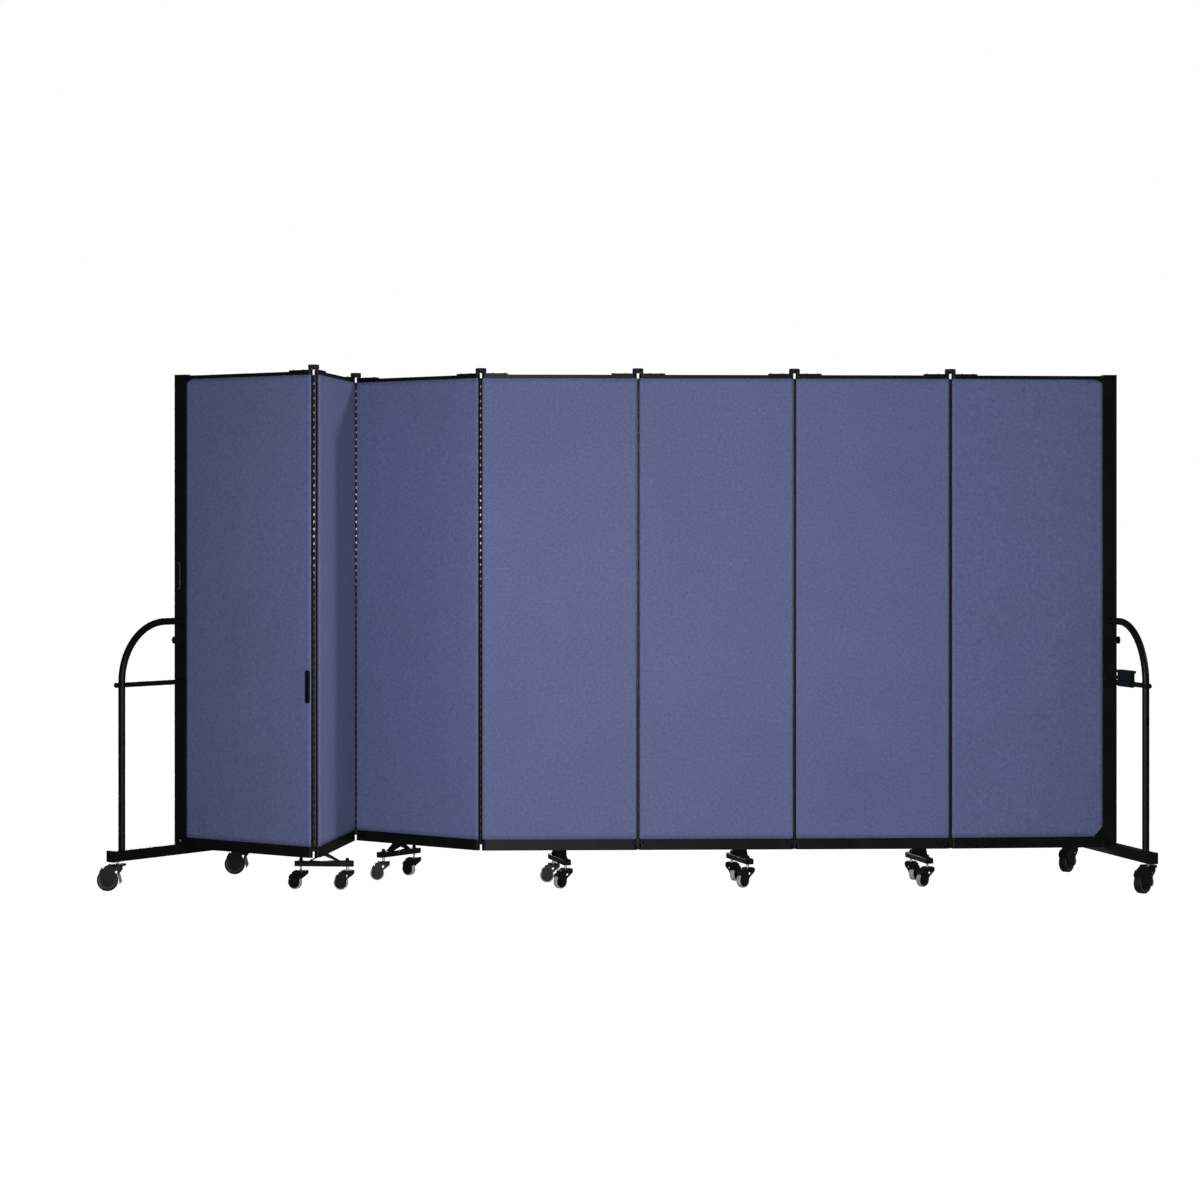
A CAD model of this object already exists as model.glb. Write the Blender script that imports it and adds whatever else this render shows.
import math

import bmesh
import bpy
from mathutils import Matrix, Vector, noise


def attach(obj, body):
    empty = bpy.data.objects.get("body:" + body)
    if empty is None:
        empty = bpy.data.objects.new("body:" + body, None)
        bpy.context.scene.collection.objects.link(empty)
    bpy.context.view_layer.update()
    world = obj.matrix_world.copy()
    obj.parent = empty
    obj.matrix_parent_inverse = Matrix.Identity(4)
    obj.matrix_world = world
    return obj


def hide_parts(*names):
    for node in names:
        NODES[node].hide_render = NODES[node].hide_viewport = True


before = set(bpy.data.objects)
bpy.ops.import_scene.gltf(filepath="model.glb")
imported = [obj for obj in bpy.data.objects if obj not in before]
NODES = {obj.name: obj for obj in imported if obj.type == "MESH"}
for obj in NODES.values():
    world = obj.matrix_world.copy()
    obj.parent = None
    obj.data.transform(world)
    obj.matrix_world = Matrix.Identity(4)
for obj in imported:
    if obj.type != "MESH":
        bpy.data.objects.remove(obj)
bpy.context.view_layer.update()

# ------------------------------------------------------------------ sizes, in metres and degrees
MM = 0.001
# From the middle of one hinge to the middle of the next, and between the two pivots of a hinge.
PITCH = 563 * MM
GAP = 29.5 * MM
SPAN = PITCH - GAP
# Half a panel's thickness, which is also the radius of its rounded edges.
HALF_T = 11 * MM
# Turn from each panel to the next. The root panel lies along X, with its middle at ORIGIN.
FOLDS = [112.4, -115.3, 38.4, 0.0, 0.0, 2.7]
COUNT = 7
ROOT = 4
ORIGIN = Vector((-218.3 * MM, -31.5 * MM, 0))
FABRIC_Z0 = 164 * MM
FABRIC_Z1 = 1812 * MM
# Half the width that stays bare of cloth along the middle of a rounded edge.
RIB = 5 * MM
# From a panel's middle to the edge of its bare width, where the channel of an end frame begins.
LIP = SPAN / 2 + math.sqrt(HALF_T ** 2 - RIB ** 2)


def heading(i):
    """Turn of panel i from X."""
    if i == ROOT:
        return 0.0
    return heading(i - 1) + FOLDS[i - 2] if i > ROOT else heading(i + 1) - FOLDS[i - 1]


def along(a, d):
    """A step of length d in the direction a."""
    return Vector((d * math.cos(math.radians(a)), d * math.sin(math.radians(a)), 0))


def step(i):
    """From the middle of panel i to the middle of the next one."""
    link = heading(i) + FOLDS[i - 1] / 2
    return along(heading(i), SPAN / 2) + along(link, GAP) + along(heading(i + 1), SPAN / 2)


def place(i):
    """Middle of panel i, seen from above."""
    if i == ROOT:
        return ORIGIN.copy()
    return place(i - 1) + step(i - 1) if i > ROOT else place(i + 1) - step(i)


def upright(mid, a):
    """A frame that stands at mid and is turned by a degrees."""
    return Matrix.Translation(mid) @ Matrix.Rotation(math.radians(a), 4, "Z")


def panel_matrix(i):
    """Frame of panel i: on the floor, midway between its pivots."""
    return upright(place(i), heading(i))


def link_matrix(i):
    """Frame of the hinge between panels i and i + 1, midway between its pivots."""
    a = heading(i) + FOLDS[i - 1] / 2
    return upright(place(i) + along(heading(i), SPAN / 2) + along(a, GAP / 2), a)


def has_hinge(i, end):
    """Whether panel i has a hinge at its left (-1) or right (1) end."""
    return 1 <= i + end <= COUNT


# ------------------------------------------------------------------ materials
class Mat:
    """A small builder for a procedural principled material."""

    def __init__(self, name, color, rough):
        self.material = bpy.data.materials.new(name)
        self.material.use_nodes = True
        self.tree = self.material.node_tree
        self.shader = self.tree.nodes["Principled BSDF"]
        self.set("Base Color", (*color, 1))
        self.set("Roughness", rough)

    def set(self, socket, value):
        """Set a value on the shader's own socket."""
        self.shader.inputs[socket].default_value = value

    def link(self, a, b):
        self.tree.links.new(a, b)

    def feed(self, socket, source):
        """Feed a socket from another node's output, or set its value."""
        if hasattr(source, "is_output"):
            self.link(source, socket)
        else:
            socket.default_value = source

    def node(self, kind, **values):
        n = self.tree.nodes.new(kind)
        for name, value in values.items():
            n.inputs[name.replace("_", " ")].default_value = value
        return n

    def coords(self, scale=(1, 1, 1)):
        """Object coordinates, which stay with the piece."""
        source = self.node("ShaderNodeTexCoord")
        mapping = self.node("ShaderNodeMapping", Scale=scale)
        self.link(source.outputs["Object"], mapping.inputs["Vector"])
        return mapping.outputs["Vector"]

    def noise(self, vec, scale, detail=3.0, rough=0.5):
        n = self.node("ShaderNodeTexNoise", Scale=scale, Detail=detail, Roughness=rough)
        self.link(vec, n.inputs["Vector"])
        return n.outputs["Fac"]

    def wave(self, vec, axis, scale):
        """Bands across the axis, a little uneven."""
        n = self.node("ShaderNodeTexWave", Scale=scale, Distortion=1.6, Detail=2, Detail_Scale=2.5)
        n.bands_direction = axis
        self.link(vec, n.inputs["Vector"])
        return n.outputs["Fac"]

    def calc(self, op, a, b=0.0, c=0.0):
        n = self.node("ShaderNodeMath")
        n.operation = op
        for socket, source in zip(n.inputs, (a, b, c)):
            self.feed(socket, source)
        return n.outputs[0]

    def ramp(self, fac, stops):
        n = self.node("ShaderNodeValToRGB")
        self.link(fac, n.inputs["Fac"])
        elements = n.color_ramp.elements
        while len(elements) < len(stops):
            elements.new(0.5)
        for element, (position, color) in zip(elements, stops):
            element.position = position
            element.color = (*color, 1)
        return n.outputs["Color"]

    def mix(self, fac, a, b, blend="MIX"):
        """Mix two colours; the colour sockets of the node are its seventh and eighth."""
        n = self.node("ShaderNodeMix")
        n.data_type = "RGBA"
        n.blend_type = blend
        self.feed(n.inputs[0], fac)
        self.feed(n.inputs[6], a)
        self.feed(n.inputs[7], b)
        return n.outputs[2]

    def bump(self, height, distance, strength, bevel=0.0):
        n = self.node("ShaderNodeBump", Distance=distance, Strength=strength)
        self.link(height, n.inputs["Height"])
        if bevel:
            edge = self.node("ShaderNodeBevel", Radius=bevel)
            edge.samples = 4
            self.link(edge.outputs["Normal"], n.inputs["Normal"])
        self.link(n.outputs["Normal"], self.shader.inputs["Normal"])

    def base(self, out):
        self.link(out, self.shader.inputs["Base Color"])

    def height(self, vec):
        n = self.node("ShaderNodeSeparateXYZ")
        self.link(vec, n.inputs[0])
        return n.outputs[2]


def grey(v):
    return (v, v, v)


def powder(name, zinc_below=None):
    """Satin black coat; what lies under zinc_below is bright zinc, such as a caster's stem."""
    value = 0.004
    m = Mat(name, grey(value), 0.42)
    v = m.coords()
    peel = m.noise(v, scale=900, detail=2, rough=0.6)
    dust = m.noise(v, scale=14, detail=4, rough=0.62)
    clean = (value * 0.8, value * 0.8, value * 0.85)
    dusty = (value * 1.6, value * 1.6, value * 1.7)
    coat = m.ramp(dust, [(0.3, clean), (0.75, dusty)])
    m.set("Specular IOR Level", 0.14)
    if zinc_below is None:
        m.base(coat)
    else:
        stem = m.calc("LESS_THAN", m.height(v), zinc_below)
        zinc = m.ramp(dust, [(0.3, grey(0.50)), (0.75, grey(0.68))])
        m.base(m.mix(stem, coat, zinc))
        m.link(stem, m.shader.inputs["Metallic"])
    m.link(m.calc("MULTIPLY_ADD", dust, 0.16, 0.33), m.shader.inputs["Roughness"])
    m.bump(peel, distance=0.12 * MM, strength=0.5, bevel=0.6 * MM)
    return m.material


def woven(name):
    """Slate blue heather cloth: threads in the bump, flecks and a faint mottle in the colour."""
    m = Mat(name, (0.135, 0.158, 0.315), 0.9)
    v = m.coords()
    thread_scale = 290
    warp = m.wave(v, "X", thread_scale)
    weft = m.wave(v, "Z", thread_scale)
    threads = m.calc("MULTIPLY", warp, weft)
    slub = m.noise(m.coords((190, 190, 110)), scale=1, detail=3, rough=0.6)
    heather = m.noise(v, scale=420, detail=3, rough=0.7)
    mottle = m.noise(v, scale=95, detail=3, rough=0.65)
    broad = m.noise(v, scale=3.2, detail=3, rough=0.5)
    fleck = m.calc("ADD", m.calc("MULTIPLY", heather, 0.6), m.calc("MULTIPLY", slub, 0.4))
    tone = m.calc("ADD", m.calc("MULTIPLY", fleck, 0.7), m.calc("MULTIPLY", mottle, 0.3))
    dark, middle, light = (0.088, 0.104, 0.226), (0.134, 0.157, 0.314), (0.192, 0.220, 0.412)
    cloth = m.ramp(tone, [(0.32, dark), (0.5, middle), (0.68, light)])
    shade = m.ramp(broad, [(0.3, (0.93, 0.94, 0.93)), (0.7, (1.0, 0.99, 1.0))])
    m.base(m.mix(1.0, cloth, shade, blend="MULTIPLY"))
    relief = m.calc("ADD", threads, m.calc("MULTIPLY", heather, 0.6))
    m.bump(relief, distance=0.4 * MM, strength=0.55)
    m.set("Sheen Weight", 0.05)
    m.set("Sheen Roughness", 0.45)
    m.set("Sheen Tint", (0.75, 0.78, 1.0, 1))
    m.set("Specular IOR Level", 0.08)
    return m.material


def web_material():
    """Pale web in the strip's windows: palest at 1.3 m, dull higher up and dark near the floor."""
    m = Mat("hinge_web", grey(0.2), 0.6)
    v = m.coords()
    speck = m.noise(v, scale=300, detail=2, rough=0.6)
    full_height = 1.85
    share = m.calc("DIVIDE", m.height(v), full_height)
    low = [(0.0, 0.06), (0.45, 0.06), (0.57, 0.12)]
    high = [(0.64, 0.6), (0.68, 0.95), (0.74, 0.9), (0.79, 0.4), (1.0, 0.3)]
    tone = m.ramp(share, [(p, grey(c)) for p, c in low + high])
    dirt = (*grey(0.02), 1)
    m.base(m.mix(m.calc("MULTIPLY", speck, 0.15), tone, dirt))
    m.set("Specular IOR Level", 0.2)
    m.bump(speck, distance=0.1 * MM, strength=0.4)
    return m.material


def moulded(name, value, rough, grain=700, gloss=0.35):
    """Moulded plastic, rubber or a small metal piece: fine grain and softened edges."""
    m = Mat(name, grey(value), rough)
    v = m.coords()
    fine = m.noise(v, grain, detail=2, rough=0.6)
    wide = m.noise(v, scale=22, detail=3, rough=0.6)
    m.base(m.ramp(wide, [(0.3, grey(value * 0.8)), (0.75, grey(value * 1.35))]))
    m.set("Specular IOR Level", gloss)
    m.bump(fine, distance=0.15 * MM, strength=0.4, bevel=0.5 * MM)
    return m.material


def strip_material():
    """Flexible black strip with a fine rib across it."""
    rib_pitch = 6.35 * MM
    m = Mat("hinge_strip", grey(0.006), 0.55)
    v = m.coords()
    rib = m.calc("SINE", m.calc("MULTIPLY", m.height(v), 2 * math.pi / rib_pitch))
    wide = m.noise(v, scale=30, detail=3, rough=0.6)
    m.base(m.ramp(wide, [(0.3, grey(0.004)), (0.75, grey(0.010))]))
    m.set("Specular IOR Level", 0.2)
    m.bump(rib, distance=0.2 * MM, strength=0.35, bevel=0.5 * MM)
    return m.material


# Heights under which the stems of the casters show.
TRUCK_STEM_TOP = 82.3 * MM
END_STEM_TOP = 103.8 * MM

M_COAT = powder("black_coat")
M_TRUCK = powder("truck_coat", TRUCK_STEM_TOP)
M_END = powder("end_frame_coat", END_STEM_TOP)
M_CLOTH = woven("slate_cloth")
M_STRIP = strip_material()
M_WEB = web_material()
M_FORK = moulded("fork_black", 0.0045, 0.4, gloss=0.2)
M_PEDAL = moulded("pedal_grey", 0.17, 0.5)
M_HUB = moulded("hub_black", 0.006, 0.45, gloss=0.22)
M_GREY = moulded("tread_grey", 0.33, 0.62, grain=500)
M_BLACK = moulded("tread_black", 0.008, 0.6, grain=500, gloss=0.2)
M_RING = moulded("ring_grey", 0.045, 0.5)
M_LATCH = moulded("latch_black", 0.005, 0.42, gloss=0.2)
M_SCREW = moulded("screw_zinc", 0.2, 0.4)
M_RIM = moulded("slot_rim", 0.07, 0.4)


def paint(obj, mat):
    obj.data.materials.clear()
    obj.data.materials.append(mat)


def paint_wheel(obj, mats, limits):
    """Rings of material on a wheel, by each face's distance from the axle as a share of the radius."""
    me = obj.data
    co = [v.co for v in me.vertices]
    mid = sum(co, Vector()) / len(co)
    # The wheel is widest, seen from above, along its rolling direction.
    xx = sum((c.x - mid.x) ** 2 for c in co)
    yy = sum((c.y - mid.y) ** 2 for c in co)
    xy = sum((c.x - mid.x) * (c.y - mid.y) for c in co)
    a = 0.5 * math.atan2(2 * xy, xx - yy)
    rolling = Vector((math.cos(a), math.sin(a), 0))
    radius = max(c.z for c in co) - mid.z
    me.materials.clear()
    for m in mats:
        me.materials.append(m)
    for f in me.polygons:
        r = math.hypot((f.center - mid).dot(rolling), f.center.z - mid.z) / radius
        f.material_index = sum(r > x for x in limits)


RING_FROM = 0.61
TREAD_FROM = 0.80
PAINT_BY_NAME = (
    ("hinge", M_STRIP),
    ("truck", M_TRUCK),
    ("end_frame", M_END),
    ("fork", M_FORK),
    ("brake", M_PEDAL),
    ("latch", M_LATCH),
    ("fabric", M_CLOTH),
    ("frame", M_COAT),
)

for name, obj in NODES.items():
    if name.startswith(("wheel_left", "wheel_right")):
        paint_wheel(obj, [M_HUB, M_RING, M_BLACK], [RING_FROM, TREAD_FROM])
    elif name.startswith("wheel"):
        paint_wheel(obj, [M_HUB, M_GREY], [TREAD_FROM])
    else:
        paint(obj, next(mat for start, mat in PAINT_BY_NAME if name.startswith(start)))


def finish_piece(bm, name, matrix, mat, body, smooth=False):
    """Make a piece of a mesh drawn in its panel's or hinge's frame, and let it ride on a body."""
    bmesh.ops.recalc_face_normals(bm, faces=bm.faces)
    me = bpy.data.meshes.new(name)
    bm.to_mesh(me)
    bm.free()
    for f in me.polygons:
        f.use_smooth = smooth
    me.transform(matrix)
    obj = bpy.data.objects.new(name, me)
    bpy.context.scene.collection.objects.link(obj)
    paint(obj, mat)
    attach(obj, body)
    return obj


# ------------------------------------------------------------------ fabric
CLOTH_T = 0.9 * MM
# Cloth's distance from the rails and from the bare middle of an edge, and from an end channel.
CLOTH_CLEAR = 0.2 * MM
CHANNEL_CLEAR = 0.3 * MM
# On panels with two hinges the cloth stays flat this close to the rounded edges.
FACE_MARGIN = 4 * MM
NOSE_STEPS = 8
FACE_STEPS = 56
ROWS = 84
TINY = 1e-9

# Unevenness of the cloth: depth all over, and depth and reach at the rails and at the end channels.
DRIFT_DEPTH = 0.22 * MM
SLACK_DEPTH = 0.3 * MM
SLACK_REACH = 50 * MM
PULL_DEPTH = 0.7 * MM
PULL_REACH = 90 * MM
# Radians of wave for each metre from the end channel.
PULL_WAVE = 260


def edge_points(i, end):
    """Cloth at one end of a panel, from outside in: round its edge, or flat into the channel."""
    if not has_hinge(i, end):
        return [(end * (LIP - CHANNEL_CLEAR), HALF_T), (end * SPAN / 2, HALF_T)]
    first = math.asin((RIB + CLOTH_CLEAR) / HALF_T)
    points = []
    for k in range(NOSE_STEPS + 1):
        a = first + (math.pi / 2 - first) * k / NOSE_STEPS
        points.append((end * (SPAN / 2 + HALF_T * math.cos(a)), HALF_T * math.sin(a)))
    return points


def profile(i):
    """The rear face's cloth seen from above, from the panel's left end to its right end."""
    face = [(-SPAN / 2 + SPAN * k / FACE_STEPS, HALF_T) for k in range(1, FACE_STEPS)]
    return edge_points(i, -1) + face + edge_points(i, 1)[::-1]


def ruffle(x, z, i, side):
    """How far the cloth sinks below its flat face: slack near the rails, faint pulls at the ends.

    Each panel reads the noise elsewhere, so that no two are alike.
    """
    top = math.exp(-(FABRIC_Z1 - z) / SLACK_REACH)
    foot = math.exp(-(z - FABRIC_Z0) / SLACK_REACH)
    drift = noise.noise(Vector((x * 9 + i * 7.1, z * 2.0, side * 3.3 + i)))
    slack = 0.5 + 0.5 * noise.noise(Vector((x * 60, z * 3, i * 2.7)))
    pull = 0.0
    if side < 0 and i in (1, COUNT):
        e = (LIP - x) if i == COUNT else (x + LIP)
        wander = 3 * noise.noise(Vector((e * 5, z * 1.5, i)))
        pull = math.exp(-e / PULL_REACH) * (0.5 + 0.5 * math.sin(e * PULL_WAVE + wander))
    return DRIFT_DEPTH * (1 + drift) + (top + foot) * SLACK_DEPTH * slack + PULL_DEPTH * pull


def cloth_point(x, y, z, depth, i, side):
    """A point of the cloth, depth below its outer face. side is -1 in front and 1 at the rear."""
    if y < HALF_T - TINY:
        pivot = math.copysign(SPAN / 2, x)
        d = Vector((x - pivot, y)) * ((HALF_T - depth) / HALF_T)
        return pivot + d.x, side * d.y, z
    uneven = abs(x) < SPAN / 2 - FACE_MARGIN or i in (1, COUNT)
    sink = ruffle(x, z, i, side) if uneven else 0.0
    return x, side * (y - depth - sink), z


def cloth_panel(i, side):
    """One face's cloth: an outer and an inner layer, closed round the rim."""
    pts = profile(i)
    n = len(pts)
    z0 = FABRIC_Z0 + CLOTH_CLEAR
    tall = FABRIC_Z1 - FABRIC_Z0 - 2 * CLOTH_CLEAR
    levels = [z0 + tall * r / ROWS for r in range(ROWS + 1)]
    bm = bmesh.new()
    outer, inner = (
        [[bm.verts.new(cloth_point(x, y, z, depth, i, side)) for x, y in pts] for z in levels]
        for depth in (0.0, CLOTH_T)
    )
    for r in range(ROWS):
        for k in range(n - 1):
            for layer, flip in ((outer, side > 0), (inner, side < 0)):
                q = [layer[r][k], layer[r][k + 1], layer[r + 1][k + 1], layer[r + 1][k]]
                bm.faces.new(q[::-1] if flip else q)
    rim = [(0, k) for k in range(n)] + [(r, n - 1) for r in range(1, ROWS + 1)]
    rim += [(ROWS, k) for k in range(n - 2, -1, -1)] + [(r, 0) for r in range(ROWS - 1, 0, -1)]
    for (r, k), (s, j) in zip(rim, rim[1:] + rim[:1]):
        bm.faces.new((outer[r][k], inner[r][k], inner[s][j], outer[s][j]))
    name = f"cloth_{i}_{'front' if side < 0 else 'rear'}"
    matrix = panel_matrix(i)
    obj = finish_piece(bm, name, matrix, M_CLOTH, f"panel_{i}", smooth=True)
    return obj


for i in range(1, COUNT + 1):
    front = cloth_panel(i, -1)
    cloth_panel(i, 1)
    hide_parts(f"fabric_{i}")

# ------------------------------------------------------------------ webs in the hinges' strips
STRIP_D = 8 * MM
WINDOW_PITCH = 25.4 * MM
WINDOW_H = 8 * MM
# The web stands a little proud of the strip and laps the sides of its windows.
WEB_W = 4 * MM
WEB_PROUD = 0.4 * MM
WEB_CROWN = 0.3 * MM
# Webs are drawn where panels meet at more than this angle; between straight ones none shows.
OPEN_FOLD = 10


def crowned_plug(bm, z0, z1, w, d, crown):
    """An upright plug from z0 to z1 with crowned front and rear faces."""
    plan = []
    for side in (-1, 1):
        for s in (-1, -0.5, 0, 0.5, 1):
            plan.append((side * -s * w / 2, side * (d / 2 - crown * s * s)))
    low, high = ([bm.verts.new((x, y, z)) for x, y in plan] for z in (z0, z1))
    n = len(plan)
    for k in range(n):
        bm.faces.new((low[k], low[(k + 1) % n], high[(k + 1) % n], high[k]))
    bm.faces.new(low[::-1])
    bm.faces.new(high)


def hinge_web(i):
    """The webs of one hinge, one in each window of its strip."""
    bm = bmesh.new()
    low = FABRIC_Z0 + WINDOW_PITCH / 2
    for n in range(int((FABRIC_Z1 - low) / WINDOW_PITCH)):
        z = low + n * WINDOW_PITCH
        crowned_plug(bm, z, z + WINDOW_H, WEB_W, STRIP_D + 2 * WEB_PROUD, WEB_CROWN)
    matrix = link_matrix(i)
    finish_piece(bm, f"web_{i}{i + 1}", matrix, M_WEB, f"hinge_{i}{i + 1}")


for i, fold in enumerate(FOLDS, 1):
    if abs(fold) > OPEN_FOLD:
        hinge_web(i)

# ------------------------------------------------------------------ backs of the lower links' slots
# The slot of a lower link goes right through the edge of its panel. Its back end is filled almost
# up to the round end of the link plate, as otherwise the floor shows through there.
SLOT_Z0 = 149.2 * MM
SLOT_Z1 = 155.8 * MM
PLATE_R = 8 * MM
PLATE_CLEAR = 0.3 * MM
# The fill ends just inside the panel's front and rear faces.
FILL_D = 2 * HALF_T - 0.2 * MM


def slot_backs(i):
    """The fills of one panel's slots."""
    bm = bmesh.new()
    near = PLATE_R + PLATE_CLEAR
    size = Matrix.Diagonal((HALF_T - near, FILL_D, SLOT_Z1 - SLOT_Z0, 1))
    for end in (-1, 1):
        if has_hinge(i, end):
            x = end * (SPAN / 2 - (near + HALF_T) / 2)
            at = Matrix.Translation((x, 0, (SLOT_Z0 + SLOT_Z1) / 2))
            bmesh.ops.create_cube(bm, size=1, matrix=at @ size)
    finish_piece(bm, f"slot_backs_{i}", panel_matrix(i), M_COAT, f"panel_{i}")


for i in range(1, COUNT + 1):
    slot_backs(i)

# ------------------------------------------------------------------ small pieces on the left channel
CHANNEL_W = 50 * MM
CHANNEL_T = 28.6 * MM
SPLAY = 7.5


def on_left_channel(x, z):
    """Frame on the left channel's front face, x from the channel's middle and z above the floor."""
    mid = place(1) - along(heading(1), LIP + CHANNEL_W / 2)
    return upright(mid, heading(1) - SPLAY) @ Matrix.Translation((x, -CHANNEL_T / 2, z))


def slot_rim():
    """Raised rim of the slot in the left channel's front face."""
    width, z0, z1 = 20 * MM, 1055 * MM, 1153 * MM
    rim, proud, bevel = 3.5 * MM, 1.6 * MM, 0.4 * MM
    half_turn_steps = 12
    section = ((0, 0), (bevel, -proud), (rim - bevel, -proud), (rim, 0))
    bm = bmesh.new()
    loops = []
    for inset, y in section:
        r = width / 2 - inset
        loop = []
        for zc, start in ((z1 - width / 2, 0), (z0 + width / 2, 180)):
            for k in range(half_turn_steps + 1):
                a = math.radians(start + 180 * k / half_turn_steps)
                loop.append(bm.verts.new((r * math.cos(a), y, zc + r * math.sin(a))))
        loops.append(loop)
    n = len(loops[0])
    for a, b in zip(loops, loops[1:] + loops[:1]):
        for k in range(n):
            bm.faces.new((a[k], a[(k + 1) % n], b[(k + 1) % n], b[k]))
    matrix = on_left_channel(-6 * MM, 0)
    finish_piece(bm, "left_slot_rim", matrix, M_RIM, "panel_1")


def foot_screw():
    """Domed screw head low on the left channel's front face."""
    radius, height, rings, sides = 5 * MM, 2 * MM, 5, 20
    bm = bmesh.new()
    loops = []
    for k in range(rings):
        a = math.radians(90 * k / rings)
        r = radius * math.cos(a)
        y = -height * math.sin(a)
        turns = [2 * math.pi * j / sides for j in range(sides)]
        loops.append([bm.verts.new((r * math.cos(b), y, r * math.sin(b))) for b in turns])
    for a, b in zip(loops, loops[1:]):
        for k in range(sides):
            bm.faces.new((a[k], a[(k + 1) % sides], b[(k + 1) % sides], b[k]))
    bm.faces.new(loops[0][::-1])
    bm.faces.new(loops[-1])
    matrix = on_left_channel(3 * MM, 151 * MM)
    finish_piece(bm, "left_foot_screw", matrix, M_SCREW, "panel_1")


slot_rim()
foot_screw()

# ------------------------------------------------------------------ floor and backdrop
FLOOR_HALF = 30
FLOOR_Z = -1 * MM
BACKDROP_R = 45


def bright(name, value, glow):
    """A matt surface that glows white, so that it stays white behind the part."""
    m = Mat(name, grey(value), 1.0)
    m.set("Specular IOR Level", 0.0)
    m.set("Emission Color", (1, 1, 1, 1))
    m.set("Emission Strength", glow)
    return m.material


def lone(obj):
    """Seen by the camera and by nothing else, so that it doesn't light the black parts."""
    obj.visible_diffuse = False
    obj.visible_glossy = False
    obj.visible_transmission = False


def stage_surface(name, me, mat):
    obj = bpy.data.objects.new(name, me)
    bpy.context.scene.collection.objects.link(obj)
    paint(obj, mat)
    lone(obj)
    return obj


def stage_floor():
    me = bpy.data.meshes.new("floor")
    corners = [(-1, -1), (1, -1), (1, 1), (-1, 1)]
    me.from_pydata([(x * FLOOR_HALF, y * FLOOR_HALF, FLOOR_Z) for x, y in corners], [], [(0, 1, 2, 3)])
    stage_surface("floor", me, bright("floor_white", value=0.14, glow=0.985))


def stage_backdrop():
    bm = bmesh.new()
    bmesh.ops.create_icosphere(bm, subdivisions=4, radius=BACKDROP_R)
    me = bpy.data.meshes.new("backdrop")
    bm.to_mesh(me)
    bm.free()
    obj = stage_surface("backdrop", me, bright("backdrop_white", value=0.0, glow=1.0))
    obj.visible_shadow = False


stage_floor()
stage_backdrop()


# ------------------------------------------------------------------ light
def area(name, loc, target, size, power):
    """Soft rectangular light that faces its target."""
    data = bpy.data.lights.new(name, "AREA")
    data.shape = "RECTANGLE"
    data.size, data.size_y = size
    data.energy = power
    obj = bpy.data.objects.new(name, data)
    bpy.context.scene.collection.objects.link(obj)
    obj.location = loc
    obj.rotation_euler = (Vector(target) - Vector(loc)).to_track_quat("-Z", "Y").to_euler()
    obj.visible_camera = False


def far_light(name, towards, strength, angle):
    """Light from far away in the direction given, softened over an angle."""
    data = bpy.data.lights.new(name, "SUN")
    data.energy = strength
    data.angle = math.radians(angle)
    obj = bpy.data.objects.new(name, data)
    bpy.context.scene.collection.objects.link(obj)
    obj.rotation_euler = (-Vector(towards)).to_track_quat("-Z", "Y").to_euler()


world = bpy.data.worlds.new("studio")
bpy.context.scene.world = world
world.use_nodes = True
background = world.node_tree.nodes["Background"]
background.inputs["Color"].default_value = (1.0, 1.0, 1.0, 1)
background.inputs["Strength"].default_value = 0.08

area("front", loc=(-0.64, -3.72, 1.05), target=(1.5, 0, 1.0), size=(0.9, 1.8), power=129)
far_light("side", towards=(0.911, -0.050, 0.407), strength=0.95, angle=11)
area("back", loc=(-1.2, 5.0, 1.6), target=(0, 0, 1.0), size=(2.4, 2.0), power=130)

# ------------------------------------------------------------------ camera
CAMERA_AT = (-0.9710, -10.0360, 1.280)
CAMERA_TURN = -2.1

cam_data = bpy.data.cameras.new("camera")
cam_data.sensor_width = 36
cam_data.lens = 84.12
cam_data.shift_x = 0.1237
cam_data.shift_y = -0.0608
cam_data.dof.use_dof = False
cam_data.clip_end = 100
cam = bpy.data.objects.new("camera", cam_data)
bpy.context.scene.collection.objects.link(cam)
cam.location = CAMERA_AT
cam.rotation_euler = (math.radians(90), 0, math.radians(CAMERA_TURN))
bpy.context.scene.camera = cam
bpy.context.scene.view_settings.view_transform = "Standard"
